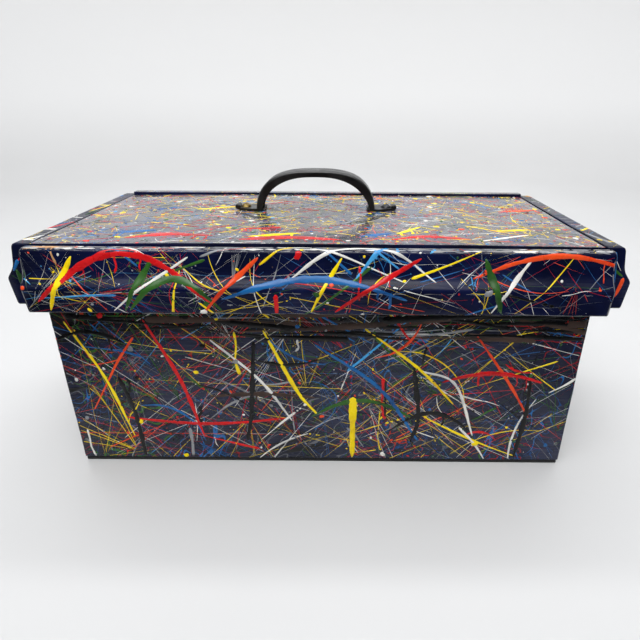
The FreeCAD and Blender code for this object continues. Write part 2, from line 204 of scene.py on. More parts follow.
def board_paint(name, dark, light, amount, grain_bump, pale=0.0, speck=0.30, gloss=0.4, coat=0.0,
                layers=None, painted_shade_above=None):
    """Navy enamel over wood, with specks and up to that many layers of fine lines.

    It darkens over 20 mm from the height painted_shade_above, in metres: painted shade where the lid's
    overhang shades the body.
    """
    s = Shader(name)
    drift = s.noise(s.coord, 14, 3, 0.6)
    tint = s.noise(s.mapped(scale=(0.5, 1, 6)), 60, 4, 0.6)
    navy = s.mix(s.ramp(drift, 0.35, 0.68), dark, light)
    navy = s.mix(s.ramp(tint, 0.5, 0.78, 0.0, 0.4), navy, CRACKS)
    # Painted shade: the navy goes nearly black towards the top of the body, under the lid's overhang.
    if painted_shade_above:
        z = s.node("ShaderNodeSeparateXYZ")
        s.link(s.coord, z.inputs[0])
        edge = s.math("ADD", z.outputs[2], s.math("MULTIPLY", drift, 0.02))
        navy = s.mix(s.ramp(edge, painted_shade_above, painted_shade_above + 0.02, 0.0, 0.85), navy, SHADE)
    colour = navy
    relief = s.math("MULTIPLY", drift, 0.2)
    for i, (word, ty, tz, scale, stretch, width, cover) in enumerate(FINE_LINES[:layers]):
        at = s.mapped(scale=(1.0, float(stretch), float(stretch)),
                      turn=[math.radians(a) for a in (9 * i, ty, tz)], shift=(i * 3.7, i * 1.9, i * 5.3))
        line = s.math("ABSOLUTE", s.math("SUBTRACT", s.noise(at, scale * 0.42, 1.2, 0.35), 0.5))
        where = s.noise(s.mapped(shift=(i * 2.3, 8 - i, i * 1.1)), 9 + i, 1.5)
        body = s.ramp(where, cover - 0.02 * amount, cover + 0.16, 0.0, width)
        mask = s.ramp(s.math("SUBTRACT", body, line), 0.0, width * 0.22)
        colour = s.mix(mask, colour, PAINTS[word][0] if i % 2 else PAINTS[word][1])
        relief = s.math("MAXIMUM", relief, mask)
    specks = s.node("ShaderNodeTexVoronoi")
    specks.inputs["Scale"].default_value = 190
    s.link(s.coord, specks.inputs["Vector"])
    hue = s.node("ShaderNodeSeparateColor")
    s.link(specks.outputs["Color"], hue.inputs[0])
    size = s.ramp(hue.outputs[0], 0.62, 1.0, 0.0, speck)
    dot = s.ramp(s.math("SUBTRACT", size, specks.outputs["Distance"]), 0.0, 0.05)
    pick = s.node("ShaderNodeValToRGB")
    pick.color_ramp.interpolation = "CONSTANT"
    stops = ["white", "red", "yellow", "blue", "orange", "green", "grey", "yellow"]
    pick.color_ramp.elements[0].color = PAINTS["white"][0]
    pick.color_ramp.elements[1].position = 0.99
    for i, word in enumerate(stops[1:], 1):
        stop = pick.color_ramp.elements.new(i / len(stops))
        stop.color = PAINTS[word][0]
    s.link(hue.outputs[1], pick.inputs[0])
    colour = s.mix(dot, colour, pick.outputs[0])
    # Pale grey flecks: partly the paint's own flecks and partly painted reflection of the bright wall on the
    # top.
    if pale:
        flecks_and_sheen = s.ramp(s.noise(s.coord, 420, 3, 0.7), 0.42, 0.66, 0.0, pale)
        colour = s.mix(flecks_and_sheen, colour, FLECK_AND_SHEEN_GREY)
    grain = s.noise(s.mapped(scale=(0.09, 0.6, 3.2)), 170, 4, 0.62, 0.3)
    height = s.math("ADD", relief, s.math("MULTIPLY", grain, grain_bump))
    height = s.math("ADD", height, s.math("MULTIPLY", dot, 0.8))
    s.bump(height, 0.55, 0.0005)
    rough = s.ramp(s.noise(s.mapped(scale=(0.4, 1, 2)), 45, 3), 0.3, 0.7, 0.16, 0.34)
    return s.set(Base_Color=colour, Roughness=rough, Specular_IOR_Level=gloss,
                 Coat_Weight=coat, Coat_Roughness=0.1)


def bare_wood(name, light, deep, along):
    """Planed softwood: growth rings drawn out along one axis, pores and stains."""
    s = Shader(name)
    stretch = {"X": (0.05, 1, 1), "Y": (1, 0.05, 1), "Z": (1, 1, 0.05)}[along]
    flow = s.mapped(scale=stretch)
    wave = s.node("ShaderNodeTexWave", wave_type="BANDS", bands_direction="DIAGONAL")
    s.link(flow, wave.inputs["Vector"])
    wave.inputs["Scale"].default_value = 34
    wave.inputs["Distortion"].default_value = 11
    wave.inputs["Detail"].default_value = 3
    wave.inputs["Detail Scale"].default_value = 1.4
    pores = s.noise(flow, 900, 4, 0.7)
    stain = s.noise(s.coord, 11, 4, 0.6)
    colour = s.mix(s.ramp(wave.outputs["Fac"], 0.35, 1.0, 0.0, 0.6), light, deep)
    colour = s.mix(s.ramp(pores, 0.5, 0.8, 0.0, 0.45), colour, deep)
    colour = s.mix(s.ramp(stain, 0.5, 0.75, 0.0, 0.35), colour, STAIN)
    s.bump(s.math("ADD", pores, s.math("MULTIPLY", wave.outputs["Fac"], 0.15)), 0.3, 0.0003)
    return s.set(Base_Color=colour, Roughness=s.ramp(stain, 0.3, 0.7, 0.55, 0.75))


def worn_metal(name, colour, deep, metallic, low, high, scale=90, coat=0.0):
    """Metal or enamel with patchy tone, handling marks and fine scratches."""
    s = Shader(name)
    patch = s.noise(s.coord, scale, 4, 0.65)
    scratch = s.noise(s.mapped(scale=(0.15, 4, 4), turn=(0.3, 0.2, 0.5)), 500, 2)
    tone = s.mix(s.ramp(patch, 0.38, 0.66), deep, colour)
    tone = s.mix(s.ramp(scratch, 0.66, 0.8, 0.0, 0.35), tone, colour)
    s.bump(s.math("ADD", patch, s.math("MULTIPLY", scratch, 0.5)), 0.25, 0.0003)
    return s.set(Base_Color=tone, Metallic=metallic, Roughness=s.ramp(patch, 0.3, 0.7, low, high),
                 Coat_Weight=coat, Coat_Roughness=0.15)


def fine_paint(word):
    """The same enamel in lines too thin to show a change of colour."""
    s = Shader("fine_paint_" + word)
    light, deep = PAINTS[word]
    rough = s.ramp(s.noise(s.mapped(shift=(7, 2, 5)), 60, 3), 0.3, 0.7, 0.22, 0.4)
    s.bump(s.noise(s.coord, 700, 2), 0.25, 0.0002)
    middle = tuple(0.6 * a + 0.4 * b for a, b in zip(light, deep))
    return s.set(Base_Color=middle, Roughness=rough, Specular_IOR_Level=0.35)


MATERIALS = {word: paint_material(word) for word in PAINTS}
FINE_MATERIALS = {word: fine_paint(word) for word in PAINTS}
# The body's navy: near its top it darkens as painted shade under the lid.
NAVY_BODY = board_paint("navy_body", rgb(22, 26, 46), rgb(35, 40, 66), -1.2, 1.3,
                        speck=0.10, layers=8, painted_shade_above=0.118)
NAVY_LID = board_paint("navy_lid", rgb(7, 11, 34), rgb(13, 21, 60), 0.0, 0.4, speck=0.10, gloss=0.2, layers=0)
# The top's navy carries pale flecks that are partly painted reflection of the bright wall.
NAVY_TOP = board_paint("navy_top", rgb(16, 20, 42), rgb(26, 32, 60), 1.0, 0.6, pale=0.4, gloss=0.6, coat=0.4)
PINE_X = bare_wood("pine_along_x", rgb(190, 158, 116), rgb(158, 120, 80), "X")
PINE_Y = bare_wood("pine_along_y", rgb(186, 153, 112), rgb(154, 116, 77), "Y")
PINE_Z = bare_wood("pine_along_z", rgb(182, 148, 108), rgb(149, 112, 74), "Z")
HARDBOARD = worn_metal("dark_hardboard", rgb(20, 20, 22), rgb(8, 8, 9), 0.0, 0.45, 0.75, 60)
ENAMEL = worn_metal("black_enamel", rgb(18, 18, 19), rgb(8, 8, 9), 0.0, 0.3, 0.5, 70, 0.12)
BRASS = worn_metal("dull_brass", rgb(150, 128, 74), rgb(92, 74, 38), 0.85, 0.3, 0.55, 300)
DARK_HEAD = worn_metal("painted_head", rgb(58, 60, 62), rgb(26, 27, 29), 0.4, 0.3, 0.5, 300)
HINGE_BRASS = worn_metal("tarnished_brass", rgb(140, 114, 66), rgb(108, 84, 48), 0.9, 0.35, 0.6, 260)
ZINC = worn_metal("zinc_plate", rgb(150, 152, 155), rgb(96, 98, 102), 0.9, 0.3, 0.5, 250)


# ---------------------------------------------------------------- sizes, in mm
FRONT_BOARD = node_mm("body_front_board")
BACK_BOARD = node_mm("body_back_board")
PANEL = node_mm("lid_top_panel")
FRONT_RAIL = node_mm("lid_front_rail")
LEFT_RAIL = node_mm("lid_left_rail")
RIGHT_RAIL = node_mm("lid_right_rail")
BACK_RAIL = node_mm("lid_back_rail")
BODY_LOW = np.array(FRONT_BOARD[0])
BODY_HIGH = np.array([FRONT_BOARD[1][0], BACK_BOARD[1][1], FRONT_BOARD[1][2]])
SKIRT = FRONT_RAIL[0][2]
BODY_EASE = 1.1
CROWN_FLAT = 95.0
CROWN_RISE = 1.2


def crown(x):
    """Height of the panel's top at x: flat in the middle and falling evenly to both sides."""
    slope = np.clip((np.abs(x) - CROWN_FLAT) / (PANEL[1][0] - CROWN_FLAT), 0, 1)
    return PANEL[1][2] - CROWN_RISE * slope


def unevenness(points):
    """Slow swells in the hand-planed and painted surfaces, the same for the same place."""
    rng = np.random.default_rng(11)
    total = np.zeros(len(points))
    for pitch, amount in ((150, 0.10), (85, 0.08), (60, 0.06), (28, 0.035), (17, 0.025)):
        wave = rng.normal(size=3)
        wave *= 2 * math.pi / pitch / np.linalg.norm(wave)
        total += amount * np.sin(points @ wave + rng.uniform(0, TURN))
    return total


def board_swell(points):
    """How far a board's painted surface stands out from its flat place."""
    return unevenness(points) - 0.2


def rail_swell(points):
    """The same for a moulding, which was run through a machine and is straighter."""
    return unevenness(points) * 0.6 - 0.12


def add_object(name, data):
    obj = bpy.data.objects.new(name, data)
    bpy.context.scene.collection.objects.link(obj)
    return obj


def smooth_mesh(name, points, faces, materials):
    """A smooth mesh object from points in metres."""
    mesh = bpy.data.meshes.new(name)
    mesh.from_pydata(points, [], faces)
    for material in materials:
        mesh.materials.append(material)
    mesh.shade_smooth()
    return add_object(name, mesh)


def mesh_piece(name, points, faces, body, materials, indices, stands_for=()):
    """Makes a piece from points in mm, with a material index for each face, hangs it on its body and hides
    the parts it stands for.
    """
    piece = smooth_mesh(name, (np.asarray(points) * MM).tolist(), faces, materials)
    piece.data.polygons.foreach_set("material_index", np.asarray(indices, dtype=np.int32))
    piece.data.update()
    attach(piece, body)
    if stands_for:
        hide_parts(*stands_for)
    return piece


# ---------------------------------------------------------------- boards
def unit(rows):
    return rows / np.maximum(np.linalg.norm(rows, axis=1, keepdims=True), 1e-9)


def cuts(start, end, ease, step):
    """Places along one side of a board, close together where its edge is eased."""
    near = [0, 0.25 * ease, 0.6 * ease]
    middle = np.linspace(start + ease, end - ease, max(2, int((end - start) / step) + 1))
    return np.concatenate([[start + c for c in near], middle, [end - c for c in reversed(near)]])


def eased(points, low, high, ease):
    """Rounds a box's edges, and gives each point's outward direction."""
    core = np.clip(points, low + ease, high - ease)
    out = unit(points - core)
    return core + out * ease, out


def board_mesh(low, high, ease, step):
    """A closed mesh of a board with eased edges: points, outward directions, faces and face directions."""
    low, high = np.array(low, float), np.array(high, float)
    lines = [cuts(low[a], high[a], ease, step) for a in range(3)]
    ids, points, faces, sides = {}, [], [], []

    def corner(index):
        if index not in ids:
            ids[index] = len(points)
            points.append([lines[a][index[a]] for a in range(3)])
        return ids[index]

    for axis in range(3):
        across, up = (axis + 1) % 3, (axis + 2) % 3
        for end in (0, len(lines[axis]) - 1):
            for i in range(len(lines[across]) - 1):
                for j in range(len(lines[up]) - 1):
                    ring = []
                    for di, dj in ((0, 0), (1, 0), (1, 1), (0, 1)):
                        index = [0, 0, 0]
                        index[axis], index[across], index[up] = end, i + di, j + dj
                        ring.append(corner(tuple(index)))
                    faces.append(ring if end else ring[::-1])
                    side = [0, 0, 0]
                    side[axis] = 1 if end else -1
                    sides.append(side)
    points, out = eased(np.array(points), low, high, ease)
    return points, out, faces, np.array(sides)


def board(node, body, ease, materials, choose, step, shape=None, swell=True):
    """A board in a node's place; choose gives each face's material from the way it faces."""
    low, high = node_mm(node)
    points, out, faces, sides = board_mesh(low, high, ease, step)
    if shape:
        points = shape(points)
    if swell:
        points = points + out * board_swell(points)[:, None]
    mesh_piece(node + "_shaped", points, faces, body, materials,
               [choose(side) for side in sides], (node,))


def second_facing(axis, sign):
    """The second material on the side that looks one way along an axis, and the first on the others."""
    return lambda side: 1 if side[axis] == sign else 0


for node, ease, pine, axis, inward in (
    ("body_front_board", BODY_EASE, PINE_X, 1, 1), ("body_back_board", BODY_EASE, PINE_X, 1, -1),
    ("body_left_board", 0.5, PINE_Y, 0, 1), ("body_right_board", 0.5, PINE_Y, 0, -1),
):
    board(node, "box", ease, [NAVY_BODY, pine], second_facing(axis, inward), 5)
board("base_panel", "box", 0.8, [HARDBOARD], lambda side: 0, 8, swell=False)
board("lid_back_rail", "lid", 1.2, [NAVY_LID, NAVY_TOP], second_facing(2, 1), 5)
for node, pine in (("lid_front_liner", PINE_X), ("lid_left_liner", PINE_Y), ("lid_right_liner", PINE_Y),
                   ("lid_back_cleat", PINE_X)):
    board(node, "lid", 0.7, [pine], lambda side: 0, 7, swell=False)


def crowned(points):
    """Lifts the panel's upper half to its crown."""
    low, high = PANEL[0][2], PANEL[1][2]
    share = (points[:, 2] - low) / (high - low)
    points[:, 2] += share * (crown(points[:, 0]) - high)
    return points


def panel_side(side):
    """Pale-flecked paint on top, the flecks partly painted reflection, bare wood below and clean navy on the
    edges.
    """
    return {1: 0, -1: 1}.get(side[2], 2)


board("lid_top_panel", "lid", 0.9, [NAVY_TOP, PINE_X, NAVY_LID], panel_side, 5, crowned)


# ---------------------------------------------------------------- mouldings
ARC_STEP = 0.7


def rounded_outline(corners):
    """A closed outline from (x, y, radius) corners, each turned with an arc."""
    outline = []
    for i, (x, y, radius) in enumerate(corners):
        here = np.array([x, y])
        back = np.array(corners[i - 1][:2]) - here
        ahead = np.array(corners[(i + 1) % len(corners)][:2]) - here
        back, ahead = back / np.linalg.norm(back), ahead / np.linalg.norm(ahead)
        half = math.acos(np.clip(back @ ahead, -1, 1)) / 2
        middle = (back + ahead) / np.linalg.norm(back + ahead)
        centre = here + middle * radius / math.sin(half)
        first = here + back * radius / math.tan(half) - centre
        last = here + ahead * radius / math.tan(half) - centre
        turn = math.pi - 2 * half
        count = max(3, int(turn * radius / ARC_STEP))
        for k in range(count + 1):
            t = k / count
            swing = math.sin((1 - t) * turn) * first + math.sin(t * turn) * last
            outline.append(centre + swing / math.sin(turn))
    return np.array(outline)


def split_long(outline, step):
    """Adds points along the straight stretches of a closed outline."""
    out = []
    for a, b in zip(outline, np.roll(outline, -1, axis=0)):
        count = max(1, int(np.linalg.norm(b - a) / step))
        out += [a + (b - a) * k / count for k in range(count)]
    return np.array(out)


def tube_faces(rings, size):
    """The faces between closed rings of points."""
    faces = []
    for s in range(rings - 1):
        for k in range(size):
            n = (k + 1) % size
            faces.append([s * size + k, s * size + n, (s + 1) * size + n, (s + 1) * size + k])
    return faces


def moulding(width, depth):
    """The lid moulding's section: out from its inner face, and below its top."""
    return rounded_outline([
        (0, 0, 0.4), (width + 2.2, 0, 2.6), (width + 4.9, -16.5, 16), (width + 10.9, -24.6, 4.5),
        (width + 8.4, -depth, 1.2), (0, -depth, 0.4),
    ])


MOULDING_PROUD = 10.67
FRONT_WIDTH = FRONT_RAIL[1][1] - FRONT_RAIL[0][1] - MOULDING_PROUD
SIDE_WIDTH = LEFT_RAIL[1][0] - LEFT_RAIL[0][0] - MOULDING_PROUD


def rail(node, section, place, start, end, pine):
    """A moulding swept along its length with slightly rounded ends."""
    ring = split_long(section, 2.5)
    centre = ring.mean(axis=0)
    stations = [(start, 0.93), (start + 0.25, 0.975), (start + 0.9, 1.0)]
    inner = np.linspace(start + 6, end - 6, int((end - start) / 5))
    stations += [(t, 1.0) for t in inner]
    stations += [(end - 0.9, 1.0), (end - 0.25, 0.975), (end, 0.93)]
    size = len(ring)
    points, middle = [], []
    for t, scale in stations:
        grow = centre + (ring - centre) * scale
        points.append(place(grow[:, 0], grow[:, 1], np.full(size, t)))
        middle.append(place(np.full(size, centre[0]), np.full(size, centre[1]), np.full(size, t)))
    points = np.concatenate(points)
    faces = tube_faces(len(stations), size)
    faces.append(list(range(size))[::-1])
    faces.append([(len(stations) - 1) * size + k for k in range(size)])
    out = unit(points - np.concatenate(middle))
    points = points + out * rail_swell(points)[:, None]
    inner = section[:, 0].min() + 0.05
    below_panel = PANEL[0][2] - FRONT_RAIL[1][2]
    bare = [k for k in range(size)
            if max(ring[k, 0], ring[(k + 1) % size, 0]) < inner and ring[k, 1] < below_panel]
    indices = [1 if k in bare else 0 for _ in range(len(stations) - 1) for k in range(size)] + [0, 0]
    piece = mesh_piece(node + "_shaped", points, faces, "lid", [NAVY_LID, pine],
                       indices, (node,))
    tidy = bmesh.new()
    tidy.from_mesh(piece.data)
    bmesh.ops.recalc_face_normals(tidy, faces=tidy.faces)
    tidy.to_mesh(piece.data)
    tidy.free()
    piece.data.set_sharp_from_angle(angle=math.radians(40))


def front_place(out, up, along):
    return np.column_stack([along, FRONT_RAIL[1][1] - out, FRONT_RAIL[1][2] + up])


def left_place(out, up, along):
    return np.column_stack([LEFT_RAIL[1][0] - out, along, LEFT_RAIL[1][2] + up])


def right_place(out, up, along):
    return np.column_stack([RIGHT_RAIL[0][0] + out, along, RIGHT_RAIL[1][2] + up])


FRONT_DEPTH = FRONT_RAIL[1][2] - SKIRT
SIDE_DEPTH = LEFT_RAIL[1][2] - SKIRT
FRONT_SECTION = moulding(FRONT_WIDTH, FRONT_DEPTH)
SIDE_SECTION = moulding(SIDE_WIDTH, SIDE_DEPTH)
rail("lid_front_rail", FRONT_SECTION, front_place, FRONT_RAIL[0][0], FRONT_RAIL[1][0], PINE_X)
rail("lid_left_rail", SIDE_SECTION, left_place, LEFT_RAIL[0][1], LEFT_RAIL[1][1], PINE_Y)
rail("lid_right_rail", SIDE_SECTION, right_place, RIGHT_RAIL[0][1], RIGHT_RAIL[1][1], PINE_Y)


# ---------------------------------------------------------------- painted faces
class Face:
    """One painted face: its range of u and v in mm, the point and outward direction at each, and its swell.

    Down is the way v changes as paint runs down the face.
    """

    def __init__(self, body, u_range, v_range, place, swell=board_swell, down=-1):
        self.body, self.u_range, self.v_range = body, u_range, v_range
        self.place, self.swell, self.down = place, swell, down


PAINT_TOP = SKIRT - 0.9
BODY_SIDE = (BODY_LOW[2] + 0.5, PAINT_TOP)


def body_face(origin, axis, way):
    """A side of the body, whose u runs one way along an axis, with edges eased as the boards' are."""
    low, high = BODY_LOW[axis], BODY_HIGH[axis]
    along = np.zeros(3)
    along[axis] = way

    def place(u, v):
        flat = np.array(origin, float) + np.outer(u, along) + np.outer(v, [0, 0, 1.0])
        return eased(flat, BODY_LOW - [0, 0, 5], BODY_HIGH, BODY_EASE)
    return Face("box", (low, high) if way > 0 else (-high, -low), BODY_SIDE, place)


def moulded_face(start, end, run, at):
    """The outer side of a moulding, a little in from its ends and edges."""
    return Face("lid", (start + 0.6, end - 0.6), (0.8, run - 0.4), at, rail_swell, 1)


def upright_place(y, way):
    """A flat upright side of the lid at y, facing one way along Y. v is the height."""
    def place(u, v):
        count = len(u)
        return np.column_stack([-way * u, np.full(count, y), v]), np.tile([0.0, way, 0.0], (count, 1))
    return place


def top_place(u, v):
    slope = np.where(np.abs(u) > CROWN_FLAT, -np.sign(u) * CROWN_RISE / (PANEL[1][0] - CROWN_FLAT), 0)
    out = np.column_stack([-slope, np.zeros(len(u)), np.ones(len(u))])
    return np.column_stack([u, v, crown(u)]), out


def outline_place(section, place):
    """Runs v down the shaped outer side of a moulding, from its top's inner edge."""
    top = section[:, 1].max()
    first = int(np.argmin(np.abs(section[:, 1] - top) * 100 + section[:, 0]))
    last = int(np.argmin((section[:, 1] - section[:, 1].min()) * 100 - section[:, 0]))
    line = section[first:last + 1]
    reach = np.concatenate([[0], np.cumsum(np.linalg.norm(np.diff(line, axis=0), axis=1))])
    turn = unit(np.gradient(line, axis=0))

    def at(u, v):
        out, up = (np.interp(v, reach, line[:, k]) for k in (0, 1))
        across, down = (np.interp(v, reach, turn[:, k]) for k in (0, 1))
        here = place(out, up, u)
        return here, unit(place(out - down, up + across, u) - here)
    return at, reach[-1]


front_at, FRONT_RUN = outline_place(FRONT_SECTION, front_place)
left_at, SIDE_RUN = outline_place(SIDE_SECTION, lambda out, up, u: left_place(out, up, -u))
right_at, _ = outline_place(SIDE_SECTION, right_place)
FACES = {
    "body_front": body_face((0, BODY_LOW[1], 0), 0, 1),
    "body_back": body_face((0, BODY_HIGH[1], 0), 0, -1),
    "body_left": body_face((BODY_LOW[0], 0, 0), 1, -1),
    "body_right": body_face((BODY_HIGH[0], 0, 0), 1, 1),
    "lid_top": Face("lid", (PANEL[0][0] + 0.8, PANEL[1][0] - 0.8), (PANEL[0][1] + 0.8, PANEL[1][1] - 0.8),
                    top_place),
    "lid_front": moulded_face(FRONT_RAIL[0][0], FRONT_RAIL[1][0], FRONT_RUN, front_at),
    "lid_left": moulded_face(-LEFT_RAIL[1][1], -LEFT_RAIL[0][1], SIDE_RUN, left_at),
    "lid_right": moulded_face(RIGHT_RAIL[0][1], RIGHT_RAIL[1][1], SIDE_RUN, right_at),
    "lid_back": Face("lid", (BACK_RAIL[0][0] + 0.8, BACK_RAIL[1][0] - 0.8), (SKIRT + 1, BACK_RAIL[1][2] - 1),
                     upright_place(BACK_RAIL[1][1], 1.0)),
    "rail_ends": Face("lid", (LEFT_RAIL[0][0] + 3, RIGHT_RAIL[1][0] - 3), (SKIRT + 2, LEFT_RAIL[1][2] - 2),
                      upright_place(LEFT_RAIL[0][1], -1.0), lambda points: np.zeros(len(points))),
}


# ---------------------------------------------------------------- raised paint
def smooth_path(anchors, step):
    """A smooth line through a few anchors, in even steps."""
    pts = np.array(anchors, float)
    if len(pts) == 2:
        dense = np.linspace(pts[0], pts[1], 20)
    else:
        padded = np.vstack([2 * pts[0] - pts[1], pts, 2 * pts[-1] - pts[-2]])
        dense = []
        for i in range(1, len(padded) - 2):
            a, b, c, d = padded[i - 1:i + 3]
            t = np.linspace(0, 1, 16, endpoint=i == len(padded) - 3)[:, None]
            dense.append(0.5 * (2 * b + (c - a) * t + (2 * a - 5 * b + 4 * c - d) * t ** 2
                                + (3 * b - a - 3 * c + d) * t ** 3))
        dense = np.concatenate(dense)
    run = np.concatenate([[0], np.cumsum(np.linalg.norm(np.diff(dense, axis=0), axis=1))])
    count = max(3, int(run[-1] / step) + 1)
    at = np.linspace(0, run[-1], count)
    return np.column_stack([np.interp(at, run, dense[:, k]) for k in (0, 1)])


LAYERS = 997
FOOT = -0.12


class Paint:
    """Raised strokes on one face. Each is a closed strip or drop, whose foot lies just under the face."""

    WORDS = list(PAINTS)

    def __init__(self, name, face, seed, thick):
        self.name, self.face, self.thick = name, face, thick
        self.random = random.Random(seed)
        self.points, self.faces, self.slots = [], [], []
        self.count = 0
        self.laid = 0

    def add(self, u, v, height, faces, word):
        low_u, high_u = self.face.u_range
        low_v, high_v = self.face.v_range
        here, out = self.face.place(np.clip(u, low_u, high_u), np.clip(v, low_v, high_v))
        self.points.append(here + out * (height + self.face.swell(here))[:, None])
        self.faces += [[self.count + i for i in face] for face in faces]
        self.slots += [self.WORDS.index(word)] * len(faces)
        self.count += len(u)
        self.laid += 1

    def lift(self):
        """Later paint lies a little higher, so it covers what is under it, until the count starts again."""
        share = (self.laid % LAYERS) / LAYERS
        return 0.03 + (0.16 if self.thick else 0.10) * share + self.random.uniform(0, 0.03)

    def inside(self, path, slack=0.0):
        (a, b), (c, d) = self.face.u_range, self.face.v_range
        u, v = path[:, 0], path[:, 1]
        return (u > a - slack) & (u < b + slack) & (v > c - slack) & (v < d + slack)

    def strip(self, anchors, widths, word, step, jitter=0.12, height=None):
        """A poured or flung line through anchors, with its width along it."""
        path = smooth_path(anchors, step)
        keep = self.inside(path)
        if not keep.any():
            return
        first = int(np.argmax(keep))
        last = first
        while last + 1 < len(path) and keep[last + 1]:
            last += 1
        if last - first < 2:
            return
        count = len(path)
        t = np.linspace(0, 1, count)
        width = np.interp(t, np.linspace(0, 1, len(widths)), widths)
        phase = [self.random.uniform(0, TURN) for _ in range(3)]
        run = t * count * step
        width = width * (1 + jitter * (0.5 * np.sin(run / 2.7 + phase[0]) + 0.3 * np.sin(run / 1.3 + phase[1])
                                       + 0.4 * np.sin(run / 8.3 + phase[2])))
        reach = [0.5 if w > 0.97 * np.mean(widths) else 2.0 for w in (widths[0], widths[-1])]
        ends = np.minimum(run / reach[0], run[::-1] / reach[1]) + step * 0.15
        round_off = np.clip(ends / np.maximum(width, step * 0.5), 0, 1)
        width = width * np.clip(round_off * (2 - round_off), 0.05, 1) ** 0.6
        path, width = path[first:last + 1], np.maximum(width[first:last + 1], 0.1)
        count = len(path)
        ahead = unit(np.gradient(path, axis=0))
        across = np.column_stack([-ahead[:, 1], ahead[:, 0]])
        full = height or np.clip(0.05 * np.mean(width), 0.06, 0.2)
        rise = full * np.clip(width / max(np.mean(width), 0.01), 0.3, 1.25)
        lift = self.lift()
        if np.mean(width) > 1.4:
            offsets, heights = (-1, -0.72, 0, 0.72, 1), (0, 0.62, 1, 0.62, 0)
        else:
            offsets, heights = (-1, 0, 1), (0, 1, 0)
        size = len(offsets)
        u = np.concatenate([path[:, 0] + across[:, 0] * width / 2 * o for o in offsets])
        v = np.concatenate([path[:, 1] + across[:, 1] * width / 2 * o for o in offsets])
        tall = np.concatenate([np.where(h > 0, lift + rise * h, FOOT) * np.ones(count) for h in heights])
        faces = []
        for k in range(size):
            n = (k + 1) % size
            for i in range(count - 1):
                faces.append([k * count + i, n * count + i, n * count + i + 1, k * count + i + 1])
        faces.append([k * count for k in range(size)][::-1])
        faces.append([k * count + count - 1 for k in range(size)])
        self.add(u, v, tall, [f[::-1] for f in faces], word)

    def drop(self, at, radius, word, rays, stretch):
        """A drop or splat: a low dome, ragged when rays is over 0."""
        count = 8 if radius < 0.9 else 12 if radius < 2 and not rays else 22
        angles = np.linspace(0, 2 * math.pi, count, endpoint=False)
        ragged = np.array([1 + self.random.uniform(-0.12, 0.12) for _ in angles])
        if rays:
            for i in range(count):
                if self.random.random() < 0.32:
                    ragged[i] += self.random.uniform(0.3, 1.0) * rays
        rim = radius * ragged
        long, lean = stretch
        x, y = np.cos(angles) * long, np.sin(angles)
        c, s = math.cos(lean), math.sin(lean)
        dx, dy = x * c - y * s, x * s + y * c
        full = min(0.08 + 0.07 * radius, 0.3)
        lift = self.lift()
        u, v, tall = [], [], []
        for scale, h in ((1.0, FOOT), (0.84, lift + 0.55 * full), (0.45, lift + 0.92 * full)):
            soft = rim * scale if scale == 1.0 else (rim * 0.6 + radius * 0.4) * scale
            u.append(at[0] + dx * soft)
            v.append(at[1] + dy * soft)
            tall.append(np.full(count, h))
        u.append([at[0]])
        v.append([at[1]])
        tall.append([lift + full])
        faces = tube_faces(3, count)
        for i in range(count):
            faces.append([2 * count + i, 2 * count + (i + 1) % count, 3 * count])
        faces.append(list(range(count))[::-1])
        self.add(np.concatenate(u), np.concatenate(v), np.concatenate(tall), faces, word)

    def somewhere(self):
        (a, b), (c, d) = self.face.u_range, self.face.v_range
        return self.random.uniform(a, b), self.random.uniform(c, d)

    def flung(self, word, start, heading, length, width, bend):
        """A thrown line: nearly straight, thinning out, sometimes breaking into drops."""
        r = self.random
        x, y = start
        anchors = [(x, y)]
        for _ in range(3):
            heading += r.gauss(0, bend)
            x += math.cos(heading) * length / 3
            y += math.sin(heading) * length / 3
            anchors.append((x, y))
        thin = r.uniform(0.35, 0.8)
        widths = [width * r.uniform(0.9, 1.4), width, width * thin, width * thin * 0.6]
        if r.random() < 0.5:
            widths.reverse()
        self.strip(anchors, widths, word, 2.6 if width < 1.2 else 2.0)
        if r.random() < 0.35:
            for _ in range(r.randint(1, 3)):
                gap = r.uniform(1.5, 7)
                x += math.cos(heading) * gap
                y += math.sin(heading) * gap
                if self.inside(np.array([[x, y]]), -0.5)[0]:
                    radius = r.uniform(0.3, 0.7) * max(width, 0.8)
                    self.drop((x, y), radius, word, 0, (r.uniform(1, 2), heading))

    def sweep(self, word, start, heading, length, width, turn):
        """A poured line that keeps turning one way."""
        x, y = start
        anchors = [(x, y)]
        for _ in range(4):
            heading += turn / 4
            x += math.cos(heading) * length / 4
            y += math.sin(heading) * length / 4
            anchors.append((x, y))
        self.strip(anchors, [width * share for share in (0.3, 0.9, 1.1, 0.6, 0.4)], word, 1.6)

    def streaks(self, words, count, low, high, longest, thinnest, thickest):
        """Nearly level lines in a band between two heights."""
        r = self.random
        for _ in range(count):
            start = (r.uniform(*self.face.u_range), r.uniform(low, high))
            self.flung(r.choice(words), start, r.gauss(0, 0.07), r.uniform(0.3, 1) * longest,
                       r.uniform(thinnest, thickest), 0.05)

    def burst(self, word, start, count, length, width, heading, fan):
        """Thin lines thrown outward from one place."""
        r = self.random
        for _ in range(count):
            away = heading + r.uniform(-fan, fan)
            gap = r.uniform(0, 6)
            at = (start[0] + math.cos(away) * gap, start[1] + math.sin(away) * gap)
            self.flung(word, at, away, length * r.uniform(0.4, 1.2), width * r.uniform(0.6, 1.4), 0.03)

    def drip(self, word, start, length, width):
        """A run of paint down the side, with a bead at its lower end."""
        r = self.random
        x, y = start
        anchors = [(x + r.gauss(0, 0.5) * k, y + self.face.down * length * k / 3) for k in range(4)]
        self.strip(anchors, [width * 1.2, width * 0.8, width * 0.7, width * 1.5], word, 2.0, jitter=0.2)

